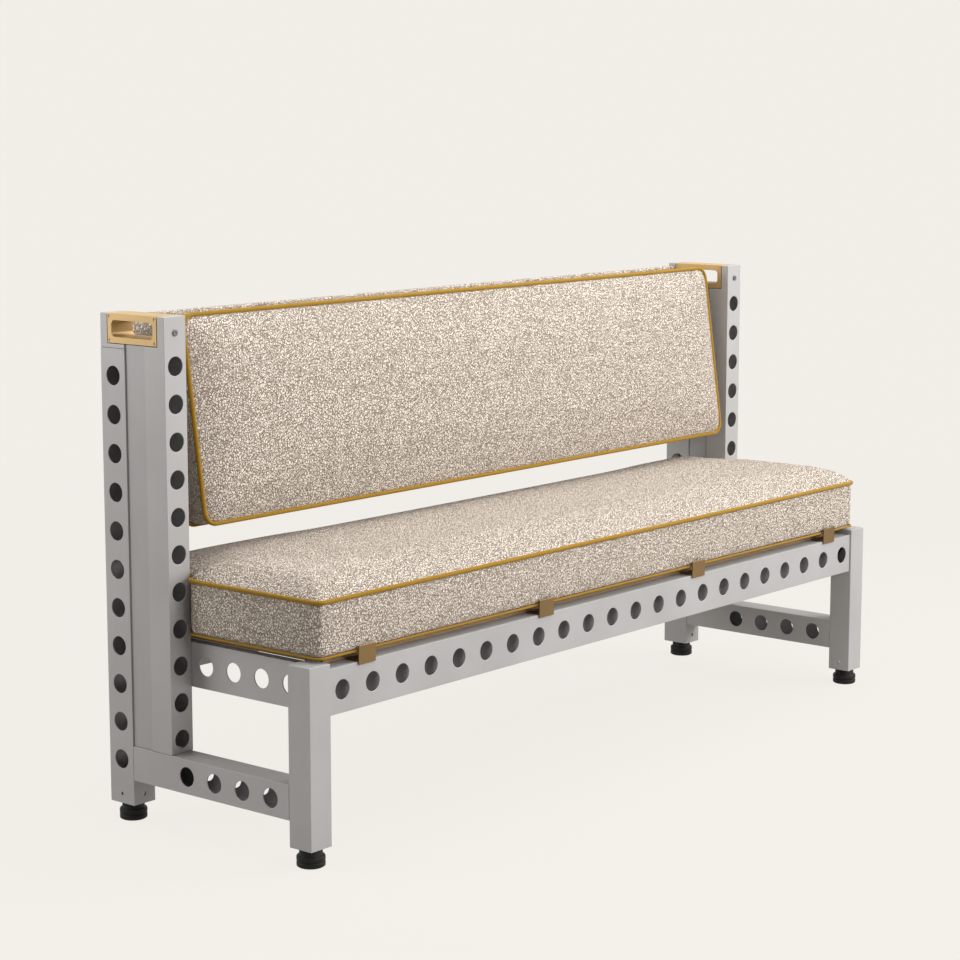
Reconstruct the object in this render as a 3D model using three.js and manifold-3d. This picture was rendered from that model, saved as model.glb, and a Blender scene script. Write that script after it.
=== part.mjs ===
// Upholstered bench: two perforated aluminium end frames, rails, brass grips and clips, and two cushions.
// Millimetres, +Z up, +X along the bench, +Y to the rear, origin on the floor under the middle.
import * as THREE from 'three';
import { mergeVertices } from 'three/addons/utils/BufferGeometryUtils.js';
import Module from 'manifold-3d';

const wasm = await Module();
wasm.setup();

// Driving dimensions
const LENGTH = 1740;
const DEPTH = 490;
const HEIGHT = 900;
const GAP = 0.3;
const WALL = 2.5;
const OVERRUN = 1;
const TUBE = 50;
const FOOT_HEIGHT = 32;
const LEG_TOP = 344;
const REAR_POST_DEPTH = 60;
const INFILL_RECESS = 3;
const STRETCHER_TOP = 140;
const STRETCHER_HEIGHT = 62;
const RAIL_BOTTOM = 254;
const RAIL_TOP = 334;
const RAIL_SET_BACK = 3.3;
const SEAT_RAIL_FLANGE = 20;

// Round holes of the perforated members
const HOLE_SIDES = 12;
const HOLE_RADIUS = 17;
const BACK_POST_HOLE_RADIUS = 16.5;
const SMALL_HOLE_RADIUS = 3.5;
const SMALL_HOLE_HEIGHT = 49;
const POST_HOLES = 11;
const REAR_POST_FIRST_HOLE = 112.5;
const REAR_POST_HOLE_PITCH = 68;
const BACK_POST_FIRST_HOLE = 165;
const BACK_POST_HOLE_PITCH = 65;
const SIDE_HOLES = 4;
const SIDE_FIRST_HOLE = -151;
const SIDE_HOLE_PITCH = 67;
const FRONT_HOLES = 22;
const FRONT_HOLE_PITCH = 75;

// Hand-grip, clips and screws
const HEAD_HEIGHT = 60;
const GRIP_SET_BACK = 18;
const GRIP_DEPTH = 124;
const GRIP_HEIGHT = 52;
const GRIP_SLOT = { depth: 103, height: 29, corner: 8 };
const CLIP = { width: 42, thickness: 3, bottom: 329, top: 362, tongue: 28 };
const CLIPS = 4;
const CLIP_SPACING = 486;
const SCREW = { headRadius: 5.5, headHeight: 2, shankRadius: 3, shankLength: 8, fromTop: 28 };

// Seat deck and back supports
const REAR_RAIL_INSET = 5;
const DECK = { thickness: 11, clipRoom: 4, endRoom: 20, rearRoom: 10 };
const BEARER_WIDTH = 40;
const BEARER_HEIGHT = 43;
const BEARER_OFFSET = 270;
const BACK_RAIL = { depth: 25, height: 30, behindPost: 11.5, upper: 780, lower: 560 };
const HOOK = { width: 40, thickness: 4, lip: 12, lipRoom: 1, flange: 40, offset: 520 };
const REAR_PANEL = { front: 229, rear: 241, bottom: 545, top: 894 };
const BOARD_THICKNESS = 12;
const BOARD_MARGIN = 22;

// Cushions
const PIPE_RADIUS = 4;
const PIPE_SIDES = 6;
const SEAM_INSET = 9.2;
const UNDERSIDE_INSET = 12;
const SIDE_BULGE = 9;
const DRAW_IN = 5;
const SEAT = { margin: 28, front: -241, notch: 79, rear: 200, bottom: 346, low: 352, top: 446 };
const SEAT_CROWN = { shoulder: 27, run: 42, middle: 14, fullness: 0.5 };
const BACK = { height: 372, depth: 60, middle: 715, front: 102, tilt: THREE.MathUtils.degToRad(8) };
const BACK_CROWN = { shoulder: 20, run: 50, middle: 10, fullness: 1 };
const SEAT_SIDE_GAP = 5;
const BACK_SIDE_GAP = 28;
const CORNER_STEPS = 4;
const LONG_SIDE = 300;
const LONG_STEP = 150;
const SHORT_STEP = 45;
const SEAT_CORNER = 18;
const BACK_CORNER = 24;

// Planes that several pieces share
const FRONT = -DEPTH / 2;
const REAR = DEPTH / 2;
const OUTER = LENGTH / 2;
const INNER = OUTER - TUBE;
const REAR_POST_FRONT = REAR - REAR_POST_DEPTH;
const BACK_POST_REAR = REAR_POST_FRONT - TUBE;
const BACK_POST_FRONT = BACK_POST_REAR - TUBE;
const GRIP_FRONT = BACK_POST_FRONT + GRIP_SET_BACK;
const GRIP_REAR = GRIP_FRONT + GRIP_DEPTH;
const GRIP_BOTTOM = HEIGHT - GRIP_HEIGHT;
const LEG_REAR = FRONT + TUBE;
const RAIL_FRONT = FRONT + RAIL_SET_BACK;
const REAR_RAIL_FRONT = REAR_POST_FRONT + REAR_RAIL_INSET;

const metal = (color, roughness) => new THREE.MeshStandardMaterial({ color, roughness, metalness: 1 });
const plain = (color, roughness) => new THREE.MeshStandardMaterial({ color, roughness, metalness: 0 });
const aluminium = metal(0xbcb7b2, 0.4);
const brass = metal(0xd6b478, 0.3);
const steel = metal(0x9a9a98, 0.35);
const blackPlastic = plain(0x0c0b0a, 0.55);
const boucle = plain(0xd8cdc0, 0.95);
const goldPiping = plain(0xc4942c, 0.7);
const plywood = plain(0xb08a5c, 0.7);

const bench = new THREE.Group();

function place(name, geometry, material, parent = bench) {
  const mesh = new THREE.Mesh(geometry, material);
  mesh.name = name;
  parent.add(mesh);
  return mesh;
}

// Solids: a closed geometry goes to the boolean library and comes back as a geometry.
function toSolid(geometry) {
  const bare = geometry.clone();
  for (const name of Object.keys(bare.attributes)) {
    if (name !== 'position') bare.deleteAttribute(name);
  }
  const merged = mergeVertices(bare, 1e-4);
  const vertProperties = new Float32Array(merged.attributes.position.array);
  const triVerts = new Uint32Array(merged.index.array);
  return new wasm.Manifold(new wasm.Mesh({ numProp: 3, vertProperties, triVerts }));
}

function toGeometry(solid) {
  const mesh = solid.getMesh();
  const geometry = new THREE.BufferGeometry();
  geometry.setAttribute('position', new THREE.BufferAttribute(mesh.vertProperties, 3));
  geometry.setIndex(new THREE.BufferAttribute(mesh.triVerts, 1));
  return geometry;
}

function cut(base, ...tools) {
  return toGeometry(tools.reduce((solid, tool) => solid.subtract(toSolid(tool)), toSolid(base)));
}

function join(...pieces) {
  return toGeometry(pieces.map(toSolid).reduce((sum, piece) => sum.add(piece)));
}

function box([x0, x1], [y0, y1], [z0, z1]) {
  const geometry = new THREE.BoxGeometry(Math.abs(x1 - x0), y1 - y0, z1 - z0);
  return geometry.translate((x0 + x1) / 2, (y0 + y1) / 2, (z0 + z1) / 2);
}

function roundBar(axis, radius, length, x, y, z, sides = HOLE_SIDES) {
  const geometry = new THREE.CylinderGeometry(radius, radius, length, sides);
  if (axis === 'x') geometry.rotateZ(Math.PI / 2);
  if (axis === 'z') geometry.rotateX(Math.PI / 2);
  return geometry.translate(x, y, z);
}

const row = (count, first, pitch) => Array.from({ length: count }, (_, i) => first + i * pitch);

// A rectangular tube, open at both ends of the named axis.
function tube(axis, x, y, z) {
  const inside = { x: [...x], y: [...y], z: [...z] };
  for (const name of ['x', 'y', 'z']) {
    const [low, high] = inside[name].sort((a, b) => a - b);
    const grow = name === axis ? OVERRUN : -WALL;
    inside[name] = [low - grow, high + grow];
  }
  return cut(box(x, y, z), box(inside.x, inside.y, inside.z));
}

// The end frames, one on each side: legs, posts, infill, stretcher, seat rail and brass grip.
function endFrame(side, sideName) {
  const across = [side * INNER, side * OUTER];
  const middle = side * (INNER + TUBE / 2);
  const sideHoles = row(SIDE_HOLES, SIDE_FIRST_HOLE, SIDE_HOLE_PITCH);

  const leg = tube('z', across, [FRONT, LEG_REAR], [FOOT_HEIGHT, LEG_TOP]);
  const legMiddle = (FRONT + LEG_REAR) / 2;
  const legHole = roundBar('x', SMALL_HOLE_RADIUS, TUBE, side * INNER, legMiddle, SMALL_HOLE_HEIGHT);
  place(`${sideName}_front_leg`, cut(leg, legHole), aluminium);

  const postTop = HEIGHT - HEAD_HEIGHT - GAP;
  const postMiddle = (REAR_POST_FRONT + REAR) / 2;
  const post = tube('z', across, [REAR_POST_FRONT, REAR], [FOOT_HEIGHT, postTop]);
  const postHoles = row(POST_HOLES, REAR_POST_FIRST_HOLE, REAR_POST_HOLE_PITCH)
    .map((z) => roundBar('x', HOLE_RADIUS, TUBE * 2, middle, postMiddle, z));
  const postSmall = roundBar('x', SMALL_HOLE_RADIUS, TUBE, side * OUTER, postMiddle, SMALL_HOLE_HEIGHT);
  place(`${sideName}_rear_post`, cut(post, ...postHoles, postSmall), aluminium);

  const head = box(across, [REAR_POST_FRONT, REAR], [HEIGHT - HEAD_HEIGHT, HEIGHT]);
  const gripRoom = box(
    [side * (INNER - OVERRUN), side * (OUTER + OVERRUN)],
    [GRIP_FRONT - GAP, GRIP_REAR + GAP],
    [GRIP_BOTTOM - GAP, HEIGHT + OVERRUN],
  );
  place(`${sideName}_post_head`, cut(head, gripRoom), aluminium);

  const infillAcross = [side * (INNER + INFILL_RECESS), side * (OUTER - INFILL_RECESS)];
  const infillDepth = [BACK_POST_REAR + GAP, REAR_POST_FRONT - GAP];
  const infill = tube('z', infillAcross, infillDepth, [STRETCHER_TOP + GAP, GRIP_BOTTOM - GAP]);
  place(`${sideName}_infill`, infill, aluminium);

  const backPost = box(across, [BACK_POST_FRONT, BACK_POST_REAR], [STRETCHER_TOP + GAP, HEIGHT]);
  const bore = box(
    [side * (INNER + WALL), side * (OUTER - WALL)],
    [BACK_POST_FRONT + WALL, BACK_POST_REAR - WALL],
    [STRETCHER_TOP - OVERRUN, GRIP_BOTTOM - WALL],
  );
  const backHoles = row(POST_HOLES, BACK_POST_FIRST_HOLE, BACK_POST_HOLE_PITCH)
    .map((z) => roundBar('y', BACK_POST_HOLE_RADIUS, WALL * 4, middle, BACK_POST_FRONT, z));
  const screwHeight = HEIGHT - SCREW.fromTop;
  const shankRoom = 2 * SCREW.shankLength + OVERRUN;
  const shankHole = roundBar('y', SCREW.shankRadius + GAP, shankRoom, middle, BACK_POST_FRONT, screwHeight);
  place(`${sideName}_back_post`, cut(backPost, bore, gripRoom, ...backHoles, shankHole), aluminium);

  const headMiddle = BACK_POST_FRONT - GAP - SCREW.headHeight / 2;
  const screwHead = roundBar('y', SCREW.headRadius, SCREW.headHeight, middle, headMiddle, screwHeight);
  const shankMiddle = headMiddle + SCREW.shankLength / 2;
  const shank = roundBar('y', SCREW.shankRadius, SCREW.shankLength, middle, shankMiddle, screwHeight);
  place(`${sideName}_back_post_screw`, join(screwHead, shank), steel);

  const gripBlock = box(across, [GRIP_FRONT, GRIP_REAR], [GRIP_BOTTOM, HEIGHT]);
  place(`${sideName}_hand_grip`, cut(gripBlock, gripSlot(middle)), brass);

  const stretcherHeight = [STRETCHER_TOP - STRETCHER_HEIGHT, STRETCHER_TOP];
  const stretcher = tube('y', across, [LEG_REAR + GAP, REAR_POST_FRONT - GAP], stretcherHeight);
  const stretcherMiddle = STRETCHER_TOP - STRETCHER_HEIGHT / 2;
  const stretcherHoles = sideHoles
    .map((y) => roundBar('x', HOLE_RADIUS, TUBE * 2, middle, y, stretcherMiddle));
  place(`${sideName}_stretcher`, cut(stretcher, ...stretcherHoles), aluminium);

  const railFace = INNER - GAP;
  const railDepth = [LEG_REAR + GAP, REAR_RAIL_FRONT - GAP];
  const railReach = [side * railFace, side * (railFace - SEAT_RAIL_FLANGE)];
  const railBody = box(railReach, railDepth, [RAIL_BOTTOM, RAIL_TOP]);
  const railHollow = box(
    [side * (railFace - WALL), side * (railFace - SEAT_RAIL_FLANGE - OVERRUN)],
    [railDepth[0] - OVERRUN, railDepth[1] + OVERRUN],
    [RAIL_BOTTOM + WALL, RAIL_TOP - WALL],
  );
  const railMiddle = (RAIL_BOTTOM + RAIL_TOP) / 2;
  const railHoles = sideHoles
    .map((y) => roundBar('x', HOLE_RADIUS, WALL * 4, side * railFace, y, railMiddle));
  place(`${sideName}_seat_rail`, cut(railBody, railHollow, ...railHoles), aluminium);
}

// The finger slot of a grip: a rounded rectangle right through the end frame.
function gripSlot(middle) {
  const radius = GRIP_SLOT.corner;
  const halfDepth = GRIP_SLOT.depth / 2;
  const halfHeight = GRIP_SLOT.height / 2;
  const outline = new THREE.Shape();
  outline.moveTo(-halfDepth + radius, -halfHeight);
  outline.lineTo(halfDepth - radius, -halfHeight);
  outline.absarc(halfDepth - radius, -halfHeight + radius, radius, -Math.PI / 2, 0);
  outline.absarc(halfDepth - radius, halfHeight - radius, radius, 0, Math.PI / 2);
  outline.absarc(-halfDepth + radius, halfHeight - radius, radius, Math.PI / 2, Math.PI);
  outline.absarc(-halfDepth + radius, -halfHeight + radius, radius, Math.PI, 1.5 * Math.PI);
  const length = TUBE * 2;
  const slot = new THREE.ExtrudeGeometry(outline, { depth: length, bevelEnabled: false, curveSegments: 5 });
  slot.translate(0, 0, -length / 2).rotateX(Math.PI / 2).rotateZ(Math.PI / 2);
  return slot.translate(middle, (GRIP_FRONT + GRIP_REAR) / 2, (GRIP_BOTTOM + HEIGHT) / 2);
}

endFrame(-1, 'left');
endFrame(1, 'right');

// Levelling feet: a pad with a collar, a threaded stem, and the insert in the tube end that it screws into.
const STEM_BOTTOM = 18;
const PAD_PROFILE = [[0, 0], [22, 0], [24.5, 2.5], [24.5, 8], [23, 9.5], [23, 11], [24.5, 12.5], [24.5, 18],
  [23, 20], [20, 20], [20, FOOT_HEIGHT - GAP], [6, FOOT_HEIGHT - GAP], [6, STEM_BOTTOM], [0, STEM_BOTTOM]];
const PAD_SIDES = 14;
const STEM_RADIUS = 5;
const STEM_SIDES = 10;
const STEM_TOP = 70;
const INSERT_HEIGHT = 25;

function levellingFoot(name, x, y, depth) {
  const profile = PAD_PROFILE.map(([radius, height]) => new THREE.Vector2(radius, height));
  const pad = new THREE.LatheGeometry(profile, PAD_SIDES).rotateX(Math.PI / 2).translate(x, y, 0);
  place(`${name}_foot_pad`, toGeometry(toSolid(pad)), blackPlastic);
  const stemBottom = STEM_BOTTOM + GAP;
  const stemMiddle = (STEM_TOP + stemBottom) / 2;
  const stem = roundBar('z', STEM_RADIUS, STEM_TOP - stemBottom, x, y, stemMiddle, STEM_SIDES);
  place(`${name}_foot_stem`, stem, steel);
  const halfAcross = TUBE / 2 - WALL - GAP;
  const halfDepth = depth / 2 - WALL - GAP;
  const block = box([x - halfAcross, x + halfAcross], [y - halfDepth, y + halfDepth],
    [FOOT_HEIGHT, FOOT_HEIGHT + INSERT_HEIGHT]);
  const thread = roundBar('z', STEM_RADIUS + GAP, 4 * INSERT_HEIGHT, x, y, FOOT_HEIGHT, STEM_SIDES);
  place(`${name}_foot_insert`, cut(block, thread), steel);
}

for (const [side, sideName] of [[-1, 'left'], [1, 'right']]) {
  const x = side * (INNER + TUBE / 2);
  levellingFoot(`${sideName}_front`, x, (FRONT + LEG_REAR) / 2, TUBE);
  levellingFoot(`${sideName}_rear`, x, (REAR_POST_FRONT + REAR) / 2, REAR_POST_DEPTH);
}

// Long rails between the end frames, and the cloth-covered panel that closes the back behind them
const railAcross = [-INNER + GAP, INNER - GAP];
const frontRailTube = tube('x', railAcross, [RAIL_FRONT, LEG_REAR], [RAIL_BOTTOM, RAIL_TOP]);
const firstFrontHole = -((FRONT_HOLES - 1) * FRONT_HOLE_PITCH) / 2;
const frontHoles = row(FRONT_HOLES, firstFrontHole, FRONT_HOLE_PITCH)
  .map((x) => roundBar('y', HOLE_RADIUS, WALL * 4, x, RAIL_FRONT, (RAIL_BOTTOM + RAIL_TOP) / 2));
place('front_rail', cut(frontRailTube, ...frontHoles), aluminium);

const rearRailDepth = [REAR_RAIL_FRONT, REAR - REAR_RAIL_INSET];
place('rear_seat_rail', tube('x', railAcross, rearRailDepth, [RAIL_BOTTOM, RAIL_TOP]), aluminium);
const backRailFront = REAR_POST_FRONT + BACK_RAIL.behindPost;
const backRailDepth = [backRailFront, backRailFront + BACK_RAIL.depth];
for (const level of ['upper', 'lower']) {
  const height = [BACK_RAIL[level], BACK_RAIL[level] + BACK_RAIL.height];
  place(`${level}_back_rail`, tube('x', railAcross, backRailDepth, height), aluminium);
}
const panelDepth = [REAR_PANEL.front, REAR_PANEL.rear];
place('rear_panel', box(railAcross, panelDepth, [REAR_PANEL.bottom, REAR_PANEL.top]), boucle);

// Seat deck on two bearers
for (const [side, sideName] of [[-1, 'left'], [1, 'right']]) {
  const x = side * BEARER_OFFSET;
  const bearerAcross = [x - BEARER_WIDTH / 2, x + BEARER_WIDTH / 2];
  const bearerTop = RAIL_TOP - GAP;
  const bearerDepth = [LEG_REAR + GAP, REAR_RAIL_FRONT - GAP];
  const bearer = tube('y', bearerAcross, bearerDepth, [bearerTop - BEARER_HEIGHT, bearerTop]);
  place(`${sideName}_deck_bearer`, bearer, aluminium);
}
const deckFront = RAIL_FRONT + CLIP.tongue + DECK.clipRoom;
const deckAcross = [-INNER + DECK.endRoom, INNER - DECK.endRoom];
const deckHeight = [RAIL_TOP + GAP, RAIL_TOP + GAP + DECK.thickness];
place('seat_deck', box(deckAcross, [deckFront, REAR - DECK.rearRoom], deckHeight), plywood);

// Brass clips: a tab in front of the cushion's lower edge and a tongue back over the rail
for (const [i, offset] of row(CLIPS, -(CLIPS - 1) / 2, 1).entries()) {
  const x = offset * CLIP_SPACING;
  const clipAcross = [x - CLIP.width / 2, x + CLIP.width / 2];
  const tab = box(clipAcross, [FRONT, FRONT + CLIP.thickness], [CLIP.bottom, CLIP.top]);
  const tongueHeight = [RAIL_TOP + GAP, RAIL_TOP + GAP + CLIP.thickness];
  const tongue = box(clipAcross, [FRONT + CLIP.thickness / 2, RAIL_FRONT + CLIP.tongue], tongueHeight);
  place(`cushion_clip_${i + 1}`, join(tab, tongue), brass);
}

function indexed(positions, index) {
  const geometry = new THREE.BufferGeometry();
  geometry.setAttribute('position', new THREE.Float32BufferAttribute(positions, 3));
  return geometry.setIndex(index);
}

// An outline with round corners whose long straight sides pull in a little between the corners.
function softOutline(corners, radius, drawIn) {
  const points = [];
  const count = corners.length;
  for (let i = 0; i < count; i += 1) {
    const corner = corners[i];
    const back = corners[(i + count - 1) % count].clone().sub(corner).normalize();
    const ahead = corners[(i + 1) % count].clone().sub(corner);
    const length = ahead.length();
    ahead.normalize();
    const size = Math.min(radius, length / 3, corner.distanceTo(corners[(i + count - 1) % count]) / 3);
    const start = corner.clone().addScaledVector(back, size);
    const end = corner.clone().addScaledVector(ahead, size);
    const bend = new THREE.QuadraticBezierCurve(start, corner, end);
    points.push(...bend.getPoints(CORNER_STEPS));
    const steps = Math.max(1, Math.round(length / (length > LONG_SIDE ? LONG_STEP : SHORT_STEP)));
    const inward = new THREE.Vector2(-ahead.y, ahead.x);
    for (let k = 1; k < steps; k += 1) {
      const t = k / steps;
      const pull = length > LONG_SIDE ? drawIn * Math.sin(Math.PI * t) : 0;
      points.push(end.clone().addScaledVector(ahead, (length - 2 * size) * t).addScaledVector(inward, pull));
    }
  }
  return points;
}

// Moves each point of an outline in by a distance, square to its neighbours.
function inset(outline, distance) {
  return outline.map((point, i) => {
    const before = outline[(i + outline.length - 1) % outline.length];
    const after = outline[(i + 1) % outline.length];
    const along = after.clone().sub(before).normalize();
    return new THREE.Vector2(point.x - along.y * distance, point.y + along.x * distance);
  });
}

// A box cushion: flat underneath, sides that swell between the two seams, and a crowned top.
function cushion(outline, base, low, high, crown) {
  const seam = inset(outline, SEAM_INSET);
  const extent = new THREE.Box2().setFromPoints(seam);
  const middle = extent.getCenter(new THREE.Vector2());
  const half = extent.getSize(new THREE.Vector2()).multiplyScalar(0.5);
  const shrink = (distance) => {
    const scale = new THREE.Vector2(1 - distance / half.x, 1 - distance / half.y);
    return seam.map((p) => p.clone().sub(middle).multiply(scale).add(middle));
  };
  const rings = [{ ring: inset(outline, SEAM_INSET + UNDERSIDE_INSET), z: base }];
  for (const t of [0, 0.25, 0.5, 0.75, 1]) {
    const swell = SIDE_BULGE * Math.sin(Math.PI * t);
    rings.push({ ring: inset(outline, SEAM_INSET - swell), z: low + (high - low) * t });
  }
  for (const t of [0.08, 0.35, 1]) {
    const rise = crown.shoulder * Math.sin((t * Math.PI) / 2) ** crown.fullness;
    rings.push({ ring: shrink(crown.run * t), z: high + rise });
  }
  rings.push({ ring: shrink(half.y / 2), z: high + crown.shoulder + 0.75 * crown.middle });
  const count = outline.length;
  const positions = rings.flatMap(({ ring, z }) => ring.flatMap((p) => [p.x, p.y, z]));
  const index = [];
  for (let level = 0; level + 1 < rings.length; level += 1) {
    for (let i = 0; i < count; i += 1) {
      const a = level * count + i;
      const b = level * count + ((i + 1) % count);
      index.push(a, b, b + count, a, b + count, a + count);
    }
  }
  const bottom = positions.length / 3;
  positions.push(middle.x, middle.y, base, middle.x, middle.y, high + crown.shoulder + crown.middle);
  const lastRing = (rings.length - 1) * count;
  for (let i = 0; i < count; i += 1) {
    const next = (i + 1) % count;
    index.push(bottom, next, i, bottom + 1, lastRing + i, lastRing + next);
  }
  return indexed(positions, index);
}

// A round cord sewn into the seam, running once round the outline.
function piping(outline, z, radius = PIPE_RADIUS) {
  const count = outline.length;
  const positions = [];
  const index = [];
  for (let k = 0; k < PIPE_SIDES; k += 1) {
    const turn = (2 * Math.PI * k) / PIPE_SIDES;
    const height = z + radius * Math.sin(turn);
    for (const p of inset(outline, PIPE_RADIUS - radius * Math.cos(turn))) positions.push(p.x, p.y, height);
    const above = ((k + 1) % PIPE_SIDES) * count;
    for (let i = 0; i < count; i += 1) {
      const next = (i + 1) % count;
      index.push(k * count + i, k * count + next, above + next, k * count + i, above + next, above + i);
    }
  }
  return indexed(positions, index);
}

// The two seams of a cushion are grooves that leave room for their piping.
function pipedCushion(outline, base, low, high, crown) {
  const grooves = [low, high].map((z) => piping(outline, z, PIPE_RADIUS + 2 * GAP));
  return cut(cushion(outline, base, low, high, crown), ...grooves);
}

const corner = (x, y) => new THREE.Vector2(x, y);
const seatHalf = OUTER - SEAT.margin;
const seatRearHalf = INNER - SEAT_SIDE_GAP;
const seatOutline = softOutline([
  corner(-seatHalf, SEAT.front), corner(seatHalf, SEAT.front), corner(seatHalf, SEAT.notch),
  corner(seatRearHalf, SEAT.notch), corner(seatRearHalf, SEAT.rear), corner(-seatRearHalf, SEAT.rear),
  corner(-seatRearHalf, SEAT.notch), corner(-seatHalf, SEAT.notch),
], SEAT_CORNER, DRAW_IN);
place('seat_cushion', pipedCushion(seatOutline, SEAT.bottom, SEAT.low, SEAT.top, SEAT_CROWN), boucle);
place('seat_lower_piping', piping(seatOutline, SEAT.low), goldPiping);
place('seat_upper_piping', piping(seatOutline, SEAT.top), goldPiping);

// The back cushion leans back with its board. Its outline stands upright and its crown faces forward.
const leaning = new THREE.Group();
leaning.position.set(0, BACK.front, BACK.middle);
leaning.rotation.x = -BACK.tilt;
bench.add(leaning);
const backHalf = INNER - BACK_SIDE_GAP;
const backOutline = softOutline([
  corner(-backHalf, -BACK.height / 2), corner(backHalf, -BACK.height / 2),
  corner(backHalf, BACK.height / 2), corner(-backHalf, BACK.height / 2),
], BACK_CORNER, DRAW_IN);
const rearSeam = -BACK.depth + PIPE_RADIUS + 2;
const upright = (geometry) => geometry.rotateX(Math.PI / 2);
const backForm = pipedCushion(backOutline, -BACK.depth, rearSeam, 0, BACK_CROWN);
place('back_cushion', upright(backForm), boucle, leaning);
place('back_rear_piping', upright(piping(backOutline, rearSeam)), goldPiping, leaning);
place('back_front_piping', upright(piping(backOutline, 0)), goldPiping, leaning);
const boardHalf = backHalf - BOARD_MARGIN;
const boardHalfHeight = BACK.height / 2 - BOARD_MARGIN;
const boardDepth = [BACK.depth + GAP, BACK.depth + GAP + BOARD_THICKNESS];
const board = box([-boardHalf, boardHalf], boardDepth, [-boardHalfHeight, boardHalfHeight]);
place('back_board', board, plywood, leaning);

// Hooks behind the board: a flange screwed to it, an arm over the rail and a lip behind the rail
const boardRear = (BACK.depth + BOARD_THICKNESS + 3 * GAP) / Math.cos(BACK.tilt);
const boardRearAt = (z) => BACK.front + boardRear + (z - BACK.middle) * Math.tan(BACK.tilt);
function hook(level, x) {
  const rest = BACK_RAIL[level] + BACK_RAIL.height + GAP;
  const top = rest + HOOK.thickness;
  const lipFront = backRailDepth[1] + HOOK.lipRoom;
  const profile = new THREE.Shape([
    corner(boardRearAt(top - HOOK.flange), top - HOOK.flange), corner(boardRearAt(top), top),
    corner(lipFront + HOOK.thickness, top), corner(lipFront + HOOK.thickness, rest - HOOK.lip),
    corner(lipFront, rest - HOOK.lip), corner(lipFront, rest),
    corner(boardRearAt(rest) + HOOK.thickness, rest),
    corner(boardRearAt(top - HOOK.flange) + HOOK.thickness, top - HOOK.flange),
  ]);
  const bent = new THREE.ExtrudeGeometry(profile, { depth: HOOK.width, bevelEnabled: false });
  return bent.rotateX(Math.PI / 2).rotateZ(Math.PI / 2).translate(x - HOOK.width / 2, 0, 0);
}
for (const level of ['upper', 'lower']) {
  place(`left_${level}_hook`, hook(level, -HOOK.offset), steel);
  place(`right_${level}_hook`, hook(level, HOOK.offset), steel);
}

export default bench;
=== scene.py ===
import math

import bpy
import mathutils
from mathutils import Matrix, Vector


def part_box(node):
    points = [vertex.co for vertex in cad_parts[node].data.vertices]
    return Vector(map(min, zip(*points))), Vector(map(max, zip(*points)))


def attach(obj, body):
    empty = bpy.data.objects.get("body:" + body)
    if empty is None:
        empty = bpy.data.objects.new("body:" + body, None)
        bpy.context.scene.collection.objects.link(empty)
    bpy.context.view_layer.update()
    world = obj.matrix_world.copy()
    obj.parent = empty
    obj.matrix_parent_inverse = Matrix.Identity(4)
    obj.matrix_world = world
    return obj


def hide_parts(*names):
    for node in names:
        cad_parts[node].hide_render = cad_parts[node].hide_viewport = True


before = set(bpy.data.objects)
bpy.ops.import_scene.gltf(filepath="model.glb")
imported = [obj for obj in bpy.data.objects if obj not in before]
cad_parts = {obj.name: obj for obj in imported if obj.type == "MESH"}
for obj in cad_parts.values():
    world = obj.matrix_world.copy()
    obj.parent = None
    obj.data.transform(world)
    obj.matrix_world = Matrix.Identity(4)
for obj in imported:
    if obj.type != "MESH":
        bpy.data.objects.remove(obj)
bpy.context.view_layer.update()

scene = bpy.context.scene
scene.view_settings.view_transform = "Standard"

# Camera: a long lens at standing eye height, off the bench's front left corner,
# looking down a little along the length of the seat.
PHOTO_PIXELS = 960
FOCAL_PIXELS = 2436
CAMERA_PLACE = (-3.675, -2.938, 1.2586)
CAMERA_YAW = math.radians(50.271)
CAMERA_PITCH = math.radians(8.831)
SENSOR_MILLIMETRES = 36
bpy.ops.object.camera_add(
    location=CAMERA_PLACE,
    rotation=(math.pi / 2 - CAMERA_PITCH, 0, -CAMERA_YAW),
)
camera = bpy.context.object
camera.data.sensor_width = SENSOR_MILLIMETRES
camera.data.lens = FOCAL_PIXELS * SENSOR_MILLIMETRES / PHOTO_PIXELS
scene.camera = camera

# Floor: a wide pale sheet that fades into the backdrop far from the bench, so that no horizon shows
# and the shadow under the seat stays. The eye and the metal's reflections see it as pale as the backdrop.
PALE = (0.885, 0.855, 0.812, 1)
FLOOR_SIZE = 14
FLOOR_DROP = 0.0005
FADE_START = 1.5
FADE_END = 4.5
GLOW_STRENGTH = 1.055
GLOW_SHARE = 0.9


def background_rays(nodes, links):
    rays = nodes.new("ShaderNodeLightPath")
    seen = rays.outputs["Is Camera Ray"]
    for kind in ("Is Glossy Ray", "Is Transmission Ray"):
        either = nodes.new("ShaderNodeMath")
        either.operation = "MAXIMUM"
        links.new(seen, either.inputs[0])
        links.new(rays.outputs[kind], either.inputs[1])
        seen = either.outputs["Value"]
    return seen


bpy.ops.mesh.primitive_plane_add(size=FLOOR_SIZE, location=(0, 0, -FLOOR_DROP))
floor = bpy.context.object
floor.name = "studio_floor"
bpy.ops.object.transform_apply(location=True, rotation=True, scale=True)
floor_look = bpy.data.materials.new("pale_floor")
floor_look.use_nodes = True
floor_nodes = floor_look.node_tree.nodes
floor_links = floor_look.node_tree.links
floor_shade = floor_nodes["Principled BSDF"]
floor_shade.inputs["Base Color"].default_value = (0.42, 0.40, 0.38, 1)
floor_shade.inputs["Roughness"].default_value = 0.9
floor_shade.inputs["Specular IOR Level"].default_value = 0.1
floor_place = floor_nodes.new("ShaderNodeTexCoord")
floor_reach = floor_nodes.new("ShaderNodeVectorMath")
floor_reach.operation = "LENGTH"
floor_fade = floor_nodes.new("ShaderNodeMapRange")
floor_fade.inputs["From Min"].default_value = FADE_START
floor_fade.inputs["From Max"].default_value = FADE_END
floor_fade.interpolation_type = "SMOOTHSTEP"
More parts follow.
